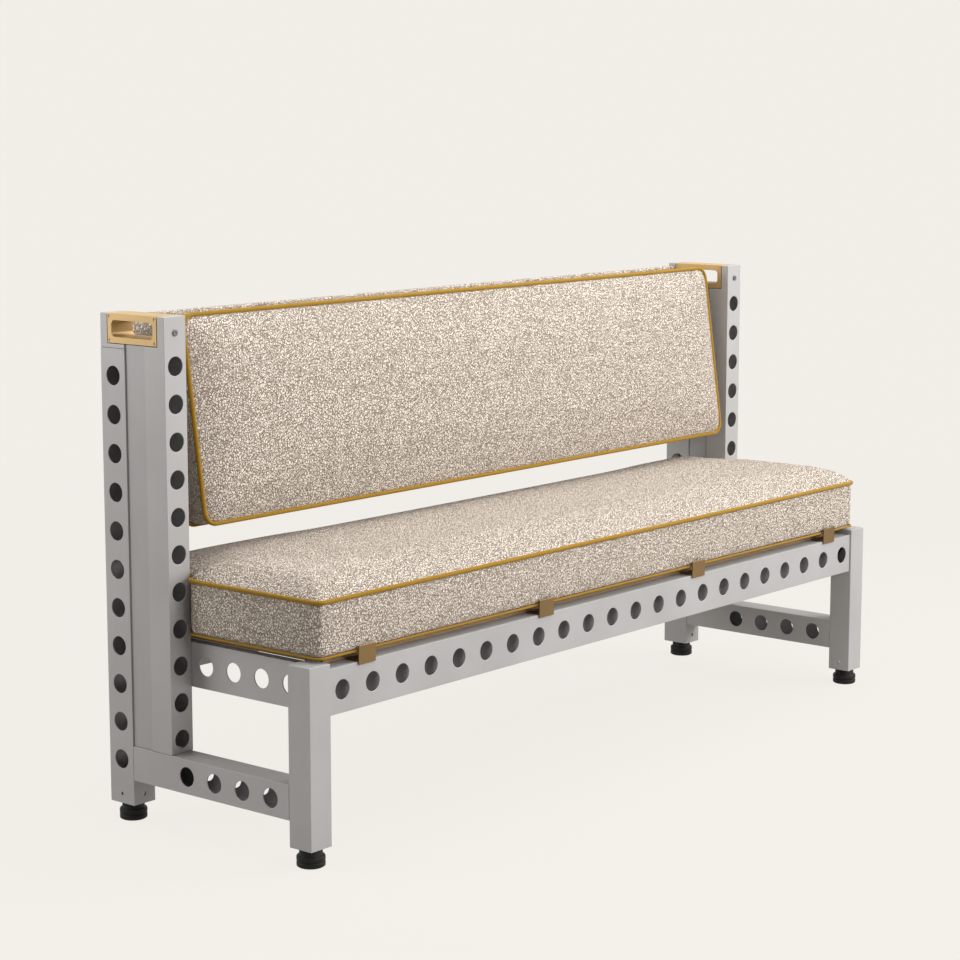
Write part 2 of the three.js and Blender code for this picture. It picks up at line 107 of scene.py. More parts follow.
floor_clear = floor_nodes.new("ShaderNodeBsdfTransparent")
floor_mix = floor_nodes.new("ShaderNodeMixShader")
floor_links.new(floor_place.outputs["Object"], floor_reach.inputs[0])
floor_links.new(floor_reach.outputs["Value"], floor_fade.inputs["Value"])
floor_links.new(floor_fade.outputs["Result"], floor_mix.inputs["Fac"])
floor_glow = floor_nodes.new("ShaderNodeEmission")
floor_glow.inputs["Color"].default_value = PALE
floor_glow.inputs["Strength"].default_value = GLOW_STRENGTH
floor_share = floor_nodes.new("ShaderNodeMath")
floor_share.operation = "MULTIPLY"
floor_share.inputs[1].default_value = GLOW_SHARE
floor_lift = floor_nodes.new("ShaderNodeMixShader")
floor_links.new(background_rays(floor_nodes, floor_links), floor_share.inputs[0])
floor_links.new(floor_share.outputs["Value"], floor_lift.inputs["Fac"])
floor_links.new(floor_shade.outputs["BSDF"], floor_lift.inputs[1])
floor_links.new(floor_glow.outputs["Emission"], floor_lift.inputs[2])
floor_links.new(floor_lift.outputs["Shader"], floor_mix.inputs[1])
floor_links.new(floor_clear.outputs["BSDF"], floor_mix.inputs[2])
floor_links.new(floor_mix.outputs["Shader"], floor_nodes["Material Output"].inputs["Surface"])
floor.data.materials.append(floor_look)

# Light: a large softbox at the front right, a broad one overhead, and smaller ones at the left rear
# and in front, in a dim room whose pale walls the metal reflects.
world = bpy.data.worlds.new("pale_room")
scene.world = world
world.use_nodes = True
room_nodes = world.node_tree.nodes
room_links = world.node_tree.links
room_light = room_nodes["Background"]
room_light.inputs["Color"].default_value = (0.95, 0.96, 1, 1)
room_light.inputs["Strength"].default_value = 0.16
room_seen = room_nodes.new("ShaderNodeBackground")
room_seen.inputs["Color"].default_value = PALE
room_seen.inputs["Strength"].default_value = 1
room_mix = room_nodes.new("ShaderNodeMixShader")
room_links.new(background_rays(room_nodes, room_links), room_mix.inputs["Fac"])
room_links.new(room_light.outputs["Background"], room_mix.inputs[1])
room_links.new(room_seen.outputs["Background"], room_mix.inputs[2])
room_links.new(room_mix.outputs["Shader"], room_nodes["World Output"].inputs["Surface"])

SOFTBOXES = {
    "key_softbox": {"place": (2.7, -2.7, 2.4), "size": 2.2, "watts": 138},
    "top_softbox": {"place": (0.2, -0.3, 3.4), "size": 3.0, "watts": 94},
    "fill_softbox": {"place": (-2.1, 1.5, 1.5), "size": 1.4, "watts": 27},
    "front_softbox": {"place": (-0.4, -4.2, 2.4), "size": 1.6, "watts": 82},
}
AIM = mathutils.Vector((0, 0, 0.45))
for name, softbox in SOFTBOXES.items():
    bpy.ops.object.light_add(type="AREA", location=softbox["place"])
    lamp = bpy.context.object
    lamp.name = name
    lamp.data.size = softbox["size"]
    lamp.data.energy = softbox["watts"]
    lamp.rotation_euler = (AIM - lamp.location).to_track_quat("-Z", "Y").to_euler()

# Aluminium finish: extruded tube, blasted and anodised to a satin grey. The shared grain group gives
# its fine sparkle, its slow cloudiness and the height for the bump.
def effect_group(name, inputs, outputs):
    group = bpy.data.node_groups.new(name, "ShaderNodeTree")
    for label, kind, value in inputs:
        socket = group.interface.new_socket(name=label, in_out="INPUT", socket_type=kind)
        socket.default_value = value
    for label, kind in outputs:
        group.interface.new_socket(name=label, in_out="OUTPUT", socket_type=kind)
    return group, group.nodes.new("NodeGroupInput"), group.nodes.new("NodeGroupOutput")


grain, grain_in, grain_out = effect_group(
    "metal_grain",
    [("Stretch", "NodeSocketVector", (1, 1, 1)), ("Fineness", "NodeSocketFloat", 900)],
    [("Grain", "NodeSocketFloat"), ("Cloud", "NodeSocketFloat")],
)
grain_place = grain.nodes.new("ShaderNodeTexCoord")
grain_stretch = grain.nodes.new("ShaderNodeVectorMath")
grain_stretch.operation = "MULTIPLY"
grain_fine = grain.nodes.new("ShaderNodeTexNoise")
grain_fine.inputs["Detail"].default_value = 3
grain_cloud = grain.nodes.new("ShaderNodeTexNoise")
grain_cloud.inputs["Scale"].default_value = 7
grain_cloud.inputs["Detail"].default_value = 4
grain.links.new(grain_place.outputs["Object"], grain_stretch.inputs[0])
grain.links.new(grain_in.outputs["Stretch"], grain_stretch.inputs[1])
grain.links.new(grain_stretch.outputs["Vector"], grain_fine.inputs["Vector"])
grain.links.new(grain_in.outputs["Fineness"], grain_fine.inputs["Scale"])
grain.links.new(grain_place.outputs["Object"], grain_cloud.inputs["Vector"])
grain.links.new(grain_fine.outputs["Fac"], grain_out.inputs["Grain"])
grain.links.new(grain_cloud.outputs["Fac"], grain_out.inputs["Cloud"])


TONE_LOW = 0.3
TONE_HIGH = 0.7
ROUGHER = 0.08
SMOOTHER = 0.06
GRAIN_HEIGHT = 0.0006


def metal_look(name, light, dark, roughness, metallic, stretch, fineness, bump):
    look = bpy.data.materials.new(name)
    look.use_nodes = True
    nodes = look.node_tree.nodes
    links = look.node_tree.links
    shade = nodes["Principled BSDF"]
    shade.inputs["Metallic"].default_value = metallic
    marks = nodes.new("ShaderNodeGroup")
    marks.node_tree = grain
    marks.inputs["Stretch"].default_value = stretch
    marks.inputs["Fineness"].default_value = fineness
    tint = nodes.new("ShaderNodeMix")
    tint.data_type = "RGBA"
    tint.inputs["A"].default_value = (*dark, 1)
    tint.inputs["B"].default_value = (*light, 1)
    spread = nodes.new("ShaderNodeMapRange")
    spread.inputs["From Min"].default_value = TONE_LOW
    spread.inputs["From Max"].default_value = TONE_HIGH
    gloss = nodes.new("ShaderNodeMapRange")
    gloss.inputs["To Min"].default_value = roughness - SMOOTHER
    gloss.inputs["To Max"].default_value = roughness + ROUGHER
    relief = nodes.new("ShaderNodeBump")
    relief.inputs["Strength"].default_value = bump
    relief.inputs["Distance"].default_value = GRAIN_HEIGHT
    links.new(marks.outputs["Cloud"], spread.inputs["Value"])
    links.new(spread.outputs["Result"], tint.inputs["Factor"])
    links.new(tint.outputs["Result"], shade.inputs["Base Color"])
    links.new(marks.outputs["Grain"], gloss.inputs["Value"])
    links.new(gloss.outputs["Result"], shade.inputs["Roughness"])
    links.new(marks.outputs["Grain"], relief.inputs["Height"])
    links.new(relief.outputs["Normal"], shade.inputs["Normal"])
    return look


satin_aluminium = metal_look(
    "satin_aluminium",
    light=(0.45, 0.438, 0.43),
    dark=(0.402, 0.391, 0.383),
    roughness=0.5,
    metallic=0.2,
    stretch=(1, 1, 0.25),
    fineness=800,
    bump=0.05,
)


# Tubes: each is drawn as a block between two corners, bored out to its wall, drilled with a row of
# round bits and then eased on every edge, with its flat faces kept flat.
TUBE_WALL = 0.0025
HOLE_SIDES = 40
EASED_ANGLE = math.radians(40)
SMOOTH_ANGLE = math.radians(35)
X, Y, Z = range(3)
BIT_TURNS = {X: (0, math.pi / 2, 0), Y: (math.pi / 2, 0, 0)}


def block(name, low, high):
    bpy.ops.object.select_all(action="DESELECT")
    low = mathutils.Vector(low)
    high = mathutils.Vector(high)
    bpy.ops.mesh.primitive_cube_add(size=1, location=(low + high) / 2)
    piece = bpy.context.object
    piece.name = name
    piece.scale = high - low
    bpy.ops.object.transform_apply(location=True, rotation=True, scale=True)
    return piece


def carve(piece, cutter):
    bpy.context.view_layer.objects.active = piece
    difference = piece.modifiers.new("carve", "BOOLEAN")
    difference.operation = "DIFFERENCE"
    difference.solver = "EXACT"
    difference.object = cutter
    bpy.ops.object.modifier_apply(modifier=difference.name)
    bpy.data.objects.remove(cutter)


def hollow(piece, low, high, axis):
    wall = mathutils.Vector((TUBE_WALL, TUBE_WALL, TUBE_WALL))
    inner_low = low + wall
    inner_high = high - wall
    inner_low[axis] = low[axis] - TUBE_WALL
    inner_high[axis] = high[axis] + TUBE_WALL
    carve(piece, block("hollow_cutter", inner_low, inner_high))


def drill(piece, centres, axis, radius, length, sides=HOLE_SIDES):
    bpy.ops.object.select_all(action="DESELECT")
    bits = []
    for centre in centres:
        bpy.ops.mesh.primitive_cylinder_add(
            vertices=sides, radius=radius, depth=length, location=centre, rotation=BIT_TURNS[axis]
        )
        bits.append(bpy.context.object)
    for bit in bits:
        bit.select_set(True)
    bpy.context.view_layer.objects.active = bits[0]
    if len(bits) > 1:
        bpy.ops.object.join()
    bpy.ops.object.transform_apply(location=True, rotation=True, scale=True)
    carve(piece, bits[0])


def ease_edges(piece, width, segments=2):
    bpy.ops.object.select_all(action="DESELECT")
    piece.select_set(True)
    bpy.context.view_layer.objects.active = piece
    ease = piece.modifiers.new("ease", "BEVEL")
    ease.width = width
    ease.segments = segments
    ease.limit_method = "ANGLE"
    ease.angle_limit = EASED_ANGLE
    bpy.ops.object.modifier_apply(modifier=ease.name)
    bpy.ops.object.shade_smooth_by_angle(angle=SMOOTH_ANGLE)
    flat_faces = piece.modifiers.new("flat_faces", "WEIGHTED_NORMAL")
    flat_faces.keep_sharp = True
    bpy.ops.object.modifier_apply(modifier=flat_faces.name)


def fit(piece, look, slot, body, *nodes):
    piece.data.materials.clear()
    piece.data.materials.append(look)
    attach(piece, body)
    if nodes:
        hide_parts(*nodes)


# Front legs: square tube, closed by a thin cap pressed in flush with the top, with a small drain hole
# near the floor on the inner face. The feet screw into the lower end.
SMALL_HOLE_RADIUS = 0.0035
SMALL_HOLE_HEIGHT = 0.049
SMALL_HOLE_SIDES = 24
SMALL_BIT = 0.03
CAP_INSET = 0.0026
CAP_THICKNESS = 0.004
CAP_EDGE = 0.0005
EDGE = 0.0014
for side in ("left", "right"):
    node = f"{side}_front_leg"
    low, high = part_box(node)
    middle = (low + high) / 2
    inner_face = high.x if side == "left" else low.x
    leg = block(f"{side}_front_leg_tube", low, high)
    hollow(leg, low, high, Z)
    drain = (inner_face, middle.y, SMALL_HOLE_HEIGHT)
    drill(leg, [drain], X, SMALL_HOLE_RADIUS, SMALL_BIT, SMALL_HOLE_SIDES)
    cap_low = (low.x + CAP_INSET, low.y + CAP_INSET, high.z - CAP_THICKNESS)
    cap_high = (high.x - CAP_INSET, high.y - CAP_INSET, high.z)
    cap = block(f"{side}_front_leg_cap", cap_low, cap_high)
    ease_edges(leg, EDGE)
    ease_edges(cap, CAP_EDGE)
    fit(leg, satin_aluminium, "aluminium", "frame", node)
    fit(cap, satin_aluminium, "aluminium", "frame")

# Rear posts: a deeper tube than the legs, up to the post heads, with a row of large holes bored through
# both side walls and two small drain holes near the floor.
HOLE_RADIUS = 0.017
THROUGH_BIT = 0.2
POST_HOLES = 11
REAR_POST_FIRST_HOLE = 0.1125
REAR_POST_PITCH = 0.068
for side in ("left", "right"):
    node = f"{side}_rear_post"
    low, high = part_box(node)
    middle = (low + high) / 2
    outer_face = low.x if side == "left" else high.x
    post = block(f"{side}_rear_post_tube", low, high)
    hollow(post, low, high, Z)
    heights = [REAR_POST_FIRST_HOLE + i * REAR_POST_PITCH for i in range(POST_HOLES)]
    drill(post, [(middle.x, middle.y, height) for height in heights], X, HOLE_RADIUS, THROUGH_BIT)
    side_drain = (outer_face, middle.y, SMALL_HOLE_HEIGHT)
    drill(post, [side_drain], X, SMALL_HOLE_RADIUS, SMALL_BIT, SMALL_HOLE_SIDES)
    front_drain = (middle.x, low.y, SMALL_HOLE_HEIGHT)
    drill(post, [front_drain], Y, SMALL_HOLE_RADIUS, SMALL_BIT, SMALL_HOLE_SIDES)
    ease_edges(post, EDGE)
    fit(post, satin_aluminium, "aluminium", "frame", node)

# Back posts: they stand on the stretchers, are drilled in the front face and are notched at the top
# for the brass grip.
BACK_POST_FIRST_HOLE = 0.165
BACK_POST_PITCH = 0.065
BACK_POST_HOLE_RADIUS = 0.0165
WALL_BIT = 0.01
OVERRUN = 0.01
FIT_GAP = 0.0003
for side in ("left", "right"):
    node = f"{side}_back_post"
    low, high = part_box(node)
    grip_low, grip_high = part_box(f"{side}_hand_grip")
    middle = (low + high) / 2
    post = block(f"{side}_back_post_tube", low, high)
    bore_low = (low.x + TUBE_WALL, low.y + TUBE_WALL, low.z - OVERRUN)
    bore_high = (high.x - TUBE_WALL, high.y - TUBE_WALL, grip_low.z - TUBE_WALL)
    carve(post, block("bore_cutter", bore_low, bore_high))
    notch_low = (low.x - OVERRUN, grip_low.y - FIT_GAP, grip_low.z - FIT_GAP)
    notch_high = (high.x + OVERRUN, high.y + OVERRUN, high.z + OVERRUN)
    carve(post, block("notch_cutter", notch_low, notch_high))
    heights = [BACK_POST_FIRST_HOLE + i * BACK_POST_PITCH for i in range(POST_HOLES)]
    drill(post, [(middle.x, low.y, height) for height in heights], Y, BACK_POST_HOLE_RADIUS, WALL_BIT)
    ease_edges(post, EDGE)
    fit(post, satin_aluminium, "aluminium", "frame", node)

# Infill strips and post heads: a plain recessed cover between the posts, with painted shade: its aluminium is
# darkened to stand in for the shade in the recess, and the machined block that closes each rear post behind
# the grip.
STRIP_EDGE = 0.0008
# Painted shade: the satin aluminium's colours, darkened for the shade in the recess between the posts.
infill_shade_aluminium = metal_look(
    "infill_shade_aluminium",
    light=(0.415, 0.404, 0.396),
    dark=(0.371, 0.361, 0.354),
    roughness=0.5,
    metallic=0.2,
    stretch=(1, 1, 0.25),
    fineness=800,
    bump=0.05,
)
for side in ("left", "right"):
    low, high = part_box(f"{side}_infill")
    strip = block(f"{side}_infill_strip", low, high)
    hollow(strip, low, high, Z)
    ease_edges(strip, STRIP_EDGE)
    fit(strip, infill_shade_aluminium, "aluminium", "frame", f"{side}_infill")
    low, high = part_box(f"{side}_post_head")
    grip_low, grip_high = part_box(f"{side}_hand_grip")
    head = block(f"{side}_post_head_block", low, high)
    notch_low = (low.x - OVERRUN, low.y - OVERRUN, grip_low.z - FIT_GAP)
    notch_high = (high.x + OVERRUN, grip_high.y + FIT_GAP, high.z + OVERRUN)
    carve(head, block("notch_cutter", notch_low, notch_high))
    ease_edges(head, EDGE)
    fit(head, satin_aluminium, "aluminium", "frame", f"{side}_post_head")

# Lower stretchers and side seat rails: they join the front legs to the posts and carry the same row of
# four holes. The stretcher is a tube, and the seat rail is a channel that opens inwards.
SIDE_HOLES = 4
SIDE_FIRST_HOLE = -0.151
SIDE_PITCH = 0.067
CHANNEL_EDGE = 0.0007
hole_places = [SIDE_FIRST_HOLE + i * SIDE_PITCH for i in range(SIDE_HOLES)]
for side in ("left", "right"):
    low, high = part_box(f"{side}_stretcher")
    middle = (low + high) / 2
    stretcher = block(f"{side}_stretcher_tube", low, high)
    hollow(stretcher, low, high, Y)
    drill(stretcher, [(middle.x, y, middle.z) for y in hole_places], X, HOLE_RADIUS, THROUGH_BIT)
    ease_edges(stretcher, EDGE)
    fit(stretcher, satin_aluminium, "aluminium", "frame", f"{side}_stretcher")
    low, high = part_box(f"{side}_seat_rail")
    middle = (low + high) / 2
    channel = block(f"{side}_seat_rail_channel", low, high)
    low_x, high_x = low.x + TUBE_WALL, high.x + OVERRUN
    if side == "right":
        low_x, high_x = low.x - OVERRUN, high.x - TUBE_WALL
    open_low = (low_x, low.y - OVERRUN, low.z + TUBE_WALL)
    open_high = (high_x, high.y + OVERRUN, high.z - TUBE_WALL)
    carve(channel, block("channel_cutter", open_low, open_high))
    drill(channel, [(middle.x, y, middle.z) for y in hole_places], X, HOLE_RADIUS, THROUGH_BIT)
    ease_edges(channel, CHANNEL_EDGE)
    fit(channel, satin_aluminium, "aluminium", "frame", f"{side}_seat_rail")

# Front rail: a box tube between the front legs, drilled along its front wall only, so its holes show
# a dark inside.
FRONT_HOLES = 22
FRONT_PITCH = 0.075
low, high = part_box("front_rail")
middle = (low + high) / 2
front_rail = block("front_rail_tube", low, high)
hollow(front_rail, low, high, X)
first_hole = -(FRONT_HOLES - 1) / 2 * FRONT_PITCH
centres = [(first_hole + i * FRONT_PITCH, low.y, middle.z) for i in range(FRONT_HOLES)]
drill(front_rail, centres, Y, HOLE_RADIUS, WALL_BIT)
ease_edges(front_rail, EDGE)
fit(front_rail, satin_aluminium, "aluminium", "frame", "front_rail")

# Inner rails: plain box tubes behind and under the cushions. One carries the rear of the seat deck, two
# carry the back cushion's hooks, and two bearers run from front to rear under the deck.
INNER_RAILS = {
    "rear_seat_rail": X,
    "upper_back_rail": X,
    "lower_back_rail": X,
    "left_deck_bearer": Y,
    "right_deck_bearer": Y,
}
for node, axis in INNER_RAILS.items():
    low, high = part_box(node)
    rail = block(f"{node}_tube", low, high)
    hollow(rail, low, high, axis)
    ease_edges(rail, EDGE)
    fit(rail, satin_aluminium, "aluminium", "frame", node)

# Hand-grips: a solid brass block let into the top of each end frame, milled right through with a
# round-ended finger slot, with a shallow screw hole in each corner of both faces.
satin_brass = metal_look(
    "satin_brass",
    light=(0.57, 0.385, 0.168),
    dark=(0.475, 0.32, 0.135),
    roughness=0.46,
    metallic=0.4,
    stretch=(1, 0.12, 1),
    fineness=700,
    bump=0.08,
)
SLOT_DEPTH = 0.103
SLOT_HEIGHT = 0.029
SLOT_CORNER = 0.008
SLOT_CORNER_STEPS = 8
SLOT_CUTTER_HALF = 0.05
GRIP_SHADOW_GAP = 0.0009
GRIP_EDGE = 0.0018
GRIP_SCREW_RADIUS = 0.0026
GRIP_SCREW_DEPTH = 0.0024
GRIP_SCREW_SIDES = 20
GRIP_SCREW_BESIDE_SLOT = 0.005
GRIP_SCREW_RISE = 0.0205
for side in ("left", "right"):
    node = f"{side}_hand_grip"
    low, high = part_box(node)
    middle = (low + high) / 2
    grip_low = (low.x, low.y + GRIP_SHADOW_GAP, low.z + GRIP_SHADOW_GAP)
    grip_high = (high.x, high.y - GRIP_SHADOW_GAP, high.z)
    grip = block(f"{side}_hand_grip_block", grip_low, grip_high)
    half = mathutils.Vector((SLOT_CUTTER_HALF, SLOT_DEPTH / 2, SLOT_HEIGHT / 2))
    slot_cutter = block("slot_cutter", middle - half, middle + half)
    bpy.ops.object.mode_set(mode="EDIT")
    bpy.ops.mesh.select_all(action="DESELECT")
    bpy.ops.object.mode_set(mode="OBJECT")
    for edge in slot_cutter.data.edges:
        start, end = (slot_cutter.data.vertices[i].co for i in edge.vertices)
        edge.select = abs(start.x - end.x) > SLOT_CUTTER_HALF
    bpy.ops.object.mode_set(mode="EDIT")
    bpy.ops.mesh.select_mode(type="EDGE")
    bpy.ops.mesh.bevel(offset=SLOT_CORNER, segments=SLOT_CORNER_STEPS, affect="EDGES")
    bpy.ops.object.mode_set(mode="OBJECT")
    carve(grip, slot_cutter)
    reach = SLOT_DEPTH / 2 + GRIP_SCREW_BESIDE_SLOT
    screw_holes = [
        (face, middle.y + y * reach, middle.z + z * GRIP_SCREW_RISE)
        for face in (low.x, high.x)
        for y in (-1, 1)
        for z in (-1, 1)
    ]
    drill(grip, screw_holes, X, GRIP_SCREW_RADIUS, GRIP_SCREW_DEPTH, GRIP_SCREW_SIDES)
    ease_edges(grip, GRIP_EDGE, segments=3)
    fit(grip, satin_brass, "brass", "frame", node)

# Cushion clips: brass strip with painted shade, its colour darker than the grips' brass, bent so that its
# tongue lies on the front rail under the cushion and its tab stands in front of the cushion's lower edge.
# Painted shade: the clips' brass colours are darkened to stand in for the shade they sit in.
shade_darkened_brass = metal_look(
    "shade_darkened_brass",
    light=(0.25, 0.155, 0.064),
    dark=(0.19, 0.118, 0.046),
    roughness=0.4,
    metallic=0.8,
    stretch=(0.12, 1, 1),
    fineness=700,
    bump=0.1,
)
CLIPS = 4
CLIP_THICKNESS = 0.003
CLIP_EDGE = 0.001
tongue_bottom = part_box("front_rail")[1].z + FIT_GAP
for i in range(1, CLIPS + 1):
    node = f"cushion_clip_{i}"
    low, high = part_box(node)
    clip = block(f"cushion_clip_{i}_strip", low, high)
    tab_back = low.y + CLIP_THICKNESS
    above_low = (low.x - OVERRUN, tab_back, tongue_bottom + CLIP_THICKNESS)
    above_high = (high.x + OVERRUN, high.y + OVERRUN, high.z + OVERRUN)
    carve(clip, block("clip_cutter", above_low, above_high))
    below_low = (low.x - OVERRUN, tab_back, low.z - OVERRUN)
    below_high = (high.x + OVERRUN, high.y + OVERRUN, tongue_bottom)
    carve(clip, block("clip_cutter", below_low, below_high))
    ease_edges(clip, CLIP_EDGE, segments=3)
    fit(clip, shade_darkened_brass, "brass", "frame", node)

# Levelling feet: a black moulded pad with a grip groove under a collar, on a zinc-plated stem that
# screws into an insert in the leg. The stems and inserts keep their plain shape.
black_plastic = bpy.data.materials.new("black_plastic")
black_plastic.use_nodes = True
plastic_nodes = black_plastic.node_tree.nodes
plastic_links = black_plastic.node_tree.links
plastic_shade = plastic_nodes["Principled BSDF"]
plastic_shade.inputs["Specular IOR Level"].default_value = 0.15
plastic_marks = plastic_nodes.new("ShaderNodeGroup")
plastic_marks.node_tree = grain
plastic_marks.inputs["Fineness"].default_value = 500
plastic_tint = plastic_nodes.new("ShaderNodeMix")
plastic_tint.data_type = "RGBA"
plastic_tint.inputs["A"].default_value = (0.008, 0.008, 0.008, 1)
plastic_tint.inputs["B"].default_value = (0.02, 0.019, 0.018, 1)
plastic_gloss = plastic_nodes.new("ShaderNodeMapRange")
plastic_gloss.inputs["To Min"].default_value = 0.4
plastic_gloss.inputs["To Max"].default_value = 0.6
plastic_relief = plastic_nodes.new("ShaderNodeBump")
plastic_relief.inputs["Strength"].default_value = 0.12
plastic_relief.inputs["Distance"].default_value = 0.0005
plastic_links.new(plastic_marks.outputs["Cloud"], plastic_tint.inputs["Factor"])
plastic_links.new(plastic_tint.outputs["Result"], plastic_shade.inputs["Base Color"])
plastic_links.new(plastic_marks.outputs["Grain"], plastic_gloss.inputs["Value"])
plastic_links.new(plastic_gloss.outputs["Result"], plastic_shade.inputs["Roughness"])
plastic_links.new(plastic_marks.outputs["Grain"], plastic_relief.inputs["Height"])
plastic_links.new(plastic_relief.outputs["Normal"], plastic_shade.inputs["Normal"])
zinc_steel = metal_look(
    "zinc_steel",
    light=(0.56, 0.56, 0.55),
    dark=(0.46, 0.46, 0.45),
    roughness=0.36,
    metallic=1,
    stretch=(1, 1, 1),
    fineness=900,
    bump=0.1,
)
PAD_SIDES = 48
PAD_SMOOTH_ANGLE = math.radians(40)
PAD_PROFILE = [
    (0.0215, 0), (0.0243, 0.002), (0.0245, 0.0082), (0.0232, 0.0094), (0.0232, 0.0108), (0.0245, 0.012),
    (0.0245, 0.0178), (0.0232, 0.0198), (0.0205, 0.0204), (0.0198, 0.0215), (0.0198, 0.0305), (0.019, 0.0317),
]
for end in ("left_front", "right_front", "left_rear", "right_rear"):
    low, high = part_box(f"{end}_foot_pad")
    middle = (low + high) / 2
    bpy.ops.object.select_all(action="DESELECT")
    bpy.ops.mesh.primitive_circle_add(
        vertices=PAD_SIDES, radius=PAD_PROFILE[0][0], fill_type="NGON", location=(middle.x, middle.y, 0)
    )
    pad = bpy.context.object
    pad.name = f"{end}_foot_pad_moulding"
    bpy.ops.object.transform_apply(location=True, rotation=True, scale=True)
    bpy.ops.object.mode_set(mode="EDIT")
    bpy.ops.mesh.select_all(action="SELECT")
    for (radius_below, below), (radius, height) in zip(PAD_PROFILE, PAD_PROFILE[1:]):
        bpy.ops.mesh.extrude_region_move(TRANSFORM_OT_translate={"value": (0, 0, height - below)})
        growth = radius / radius_below
        centre = (middle.x, middle.y, height)
        bpy.ops.transform.resize(value=(growth, growth, 1), center_override=centre)
    bpy.ops.mesh.select_all(action="SELECT")
    bpy.ops.mesh.normals_make_consistent(inside=False)
    bpy.ops.object.mode_set(mode="OBJECT")
    bpy.ops.object.shade_smooth_by_angle(angle=PAD_SMOOTH_ANGLE)
    fit(pad, black_plastic, "black_plastic", f"{end}_foot", f"{end}_foot_pad")
    for part in ("stem", "insert"):
        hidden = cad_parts[f"{end}_foot_{part}"]
        hidden.data.materials.clear()
        hidden.data.materials.append(zinc_steel)

# Back post screws and hooks: small dark button-head screws that hold the grips, with a six-sided socket.
# The zinc-plated hooks behind the back board keep their plain bent shape.
dark_steel = metal_look(
    "dark_steel",
    light=(0.2, 0.195, 0.19),
    dark=(0.15, 0.147, 0.143),
    roughness=0.42,
    metallic=0.9,
    stretch=(1, 1, 1),
    fineness=900,
    bump=0.1,
)
SCREW_RADIUS = 0.0055
SCREW_HEIGHT = 0.002
SCREW_EDGE = 0.0005
SOCKET_RADIUS = 0.002
SOCKET_DEPTH = 0.0024
SOCKET_SIDES = 6
for side in ("left", "right"):
    node = f"{side}_back_post_screw"
    low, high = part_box(node)
    middle = (low + high) / 2
    bpy.ops.object.select_all(action="DESELECT")
    bpy.ops.mesh.primitive_cylinder_add(
        vertices=HOLE_SIDES,
        radius=SCREW_RADIUS,
        depth=SCREW_HEIGHT,
        location=(middle.x, low.y + SCREW_HEIGHT / 2, middle.z),
        rotation=BIT_TURNS[Y],
    )
    screw = bpy.context.object
    screw.name = f"{side}_back_post_button_screw"
    bpy.ops.object.transform_apply(location=True, rotation=True, scale=True)
    drill(screw, [(middle.x, low.y, middle.z)], Y, SOCKET_RADIUS, SOCKET_DEPTH, SOCKET_SIDES)
    ease_edges(screw, SCREW_EDGE)
    fit(screw, dark_steel, "steel", "frame", node)
    for level in ("upper", "lower"):
        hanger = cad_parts[f"{side}_{level}_hook"]
        hanger.data.materials.clear()
        hanger.data.materials.append(zinc_steel)

# Seat deck: a sanded plywood panel under the seat cushion, with its grain along the bench, laid on the
# rails and bearers.
plywood = bpy.data.materials.new("sanded_plywood")
plywood.use_nodes = True
ply_nodes = plywood.node_tree.nodes
ply_links = plywood.node_tree.links
ply_marks = ply_nodes.new("ShaderNodeGroup")
ply_marks.node_tree = grain
ply_marks.inputs["Stretch"].default_value = (0.05, 1, 1)
ply_marks.inputs["Fineness"].default_value = 160
ply_tint = ply_nodes.new("ShaderNodeMix")
ply_tint.data_type = "RGBA"
ply_tint.inputs["A"].default_value = (0.36, 0.22, 0.11, 1)
ply_tint.inputs["B"].default_value = (0.56, 0.39, 0.22, 1)
ply_relief = ply_nodes.new("ShaderNodeBump")
ply_relief.inputs["Strength"].default_value = 0.15
ply_relief.inputs["Distance"].default_value = 0.001
ply_shade = ply_nodes["Principled BSDF"]
ply_shade.inputs["Roughness"].default_value = 0.6
ply_links.new(ply_marks.outputs["Grain"], ply_tint.inputs["Factor"])
ply_links.new(ply_tint.outputs["Result"], ply_shade.inputs["Base Color"])
ply_links.new(ply_marks.outputs["Grain"], ply_relief.inputs["Height"])
ply_links.new(ply_relief.outputs["Normal"], ply_shade.inputs["Normal"])
PLYWOOD_EDGE = 0.001
low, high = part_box("seat_deck")
deck = block("seat_deck_panel", low, high)
ease_edges(deck, PLYWOOD_EDGE)
fit(deck, plywood, "plywood", "frame", "seat_deck")

# Cushion cloth: bouclé of small irregular loops in warm cream and sand yarns. Painted shade darkens the gaps
# between the loops, which also sink in the bump, and a slow change of yarn clouds the colour.
boucle = bpy.data.materials.new("boucle_cloth")
boucle.use_nodes = True
cloth_nodes = boucle.node_tree.nodes
cloth_links = boucle.node_tree.links
cloth_shade = cloth_nodes["Principled BSDF"]
cloth_shade.inputs["Roughness"].default_value = 0.95
cloth_shade.inputs["Specular IOR Level"].default_value = 0.05
cloth_shade.inputs["Sheen Weight"].default_value = 0.12
cloth_shade.inputs["Sheen Roughness"].default_value = 0.6
cloth_place = cloth_nodes.new("ShaderNodeTexCoord")
cloth_wander = cloth_nodes.new("ShaderNodeTexNoise")
cloth_wander.inputs["Scale"].default_value = 140
cloth_wander.inputs["Detail"].default_value = 2
cloth_shift = cloth_nodes.new("ShaderNodeVectorMath")
cloth_shift.operation = "SCALE"
cloth_shift.inputs["Scale"].default_value = 0.008
cloth_move = cloth_nodes.new("ShaderNodeVectorMath")
cloth_move.operation = "ADD"
cloth_upright = cloth_nodes.new("ShaderNodeVectorMath")
cloth_upright.operation = "MULTIPLY"
cloth_upright.inputs[1].default_value = (1, 0.8, 0.62)
cloth_loops = cloth_nodes.new("ShaderNodeTexVoronoi")
cloth_loops.feature = "DISTANCE_TO_EDGE"
cloth_loops.inputs["Scale"].default_value = 290
cloth_loops.inputs["Randomness"].default_value = 1
cloth_gap = cloth_nodes.new("ShaderNodeMapRange")
